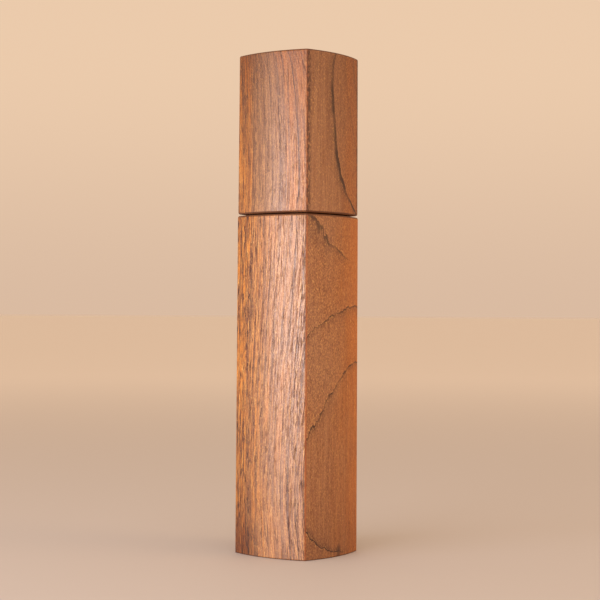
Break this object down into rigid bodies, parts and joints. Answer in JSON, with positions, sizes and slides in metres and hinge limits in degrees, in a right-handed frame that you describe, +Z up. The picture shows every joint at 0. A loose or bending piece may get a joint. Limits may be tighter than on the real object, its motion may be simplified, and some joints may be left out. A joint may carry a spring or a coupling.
{
  "type": "pepper mill",
  "caption": "Tall square walnut pepper mill with bowed sides, a head that turns and lifts off, and a ceramic grinder set by a wheel in its foot.",
  "frame": {"origin": "centre of the foot, on the surface the mill stands on", "axes": "+Z up along the mill's axis, with one bowed side facing -Y and one facing +X"},
  "size_m": [0.0588, 0.0588, 0.2848],
  "materials": {
    "walnut": "oiled satin",
    "black_plastic": "fine matte",
    "grey_plastic": "fine matte",
    "ceramic": "fired, matte",
    "steel": "satin stainless",
    "spring_steel": "drawn wire",
    "bronze": "sintered, oiled",
    "aluminium": "drawn bar"
  },
  "bodies": {
    "body": {"body_column": "walnut", "grinder_housing": "black_plastic", "housing_screws": "steel", "shaft_bush": "bronze", "thrust_washer": "steel", "spring_washer": "steel"},
    "wheel": {"adjuster_wheel": "grey_plastic"},
    "carrier": {"burr_carrier": "black_plastic", "outer_burr": "ceramic"},
    "drive": {"drive_shaft": "aluminium", "retaining_clip": "spring_steel", "burr_spring": "spring_steel", "feed_screw": "grey_plastic", "inner_burr": "ceramic", "burr_washer": "steel", "burr_screw": "steel"},
    "head": {"head": "walnut", "head_insert": "grey_plastic", "insert_screws": "steel", "shaft_clip": "spring_steel"}
  },
  "joints": [
    {"name": "head_turn", "type": "hinge", "parent": "body", "child": "drive", "pos_m": [0, 0, 0.0375], "axis": [0, 0, 1], "continuous": true},
    {"name": "head_lift", "type": "slide", "parent": "drive", "child": "head", "axis": [0, 0, 1], "range_m": [0, 0.05]},
    {"name": "adjuster_turn", "type": "hinge", "parent": "body", "child": "wheel", "pos_m": [0, 0, 0.0085], "axis": [0, 0, 1], "range_deg": [-150, 150]},
    {"name": "burr_feed", "type": "slide", "parent": "body", "child": "carrier", "axis": [0, 0, 1], "range_m": [-0.00084, 0.00084]}
  ],
  "couplings": [
    {"joint": "burr_feed", "follows": "adjuster_turn", "m_per_rad": 0.00031831}
  ]
}
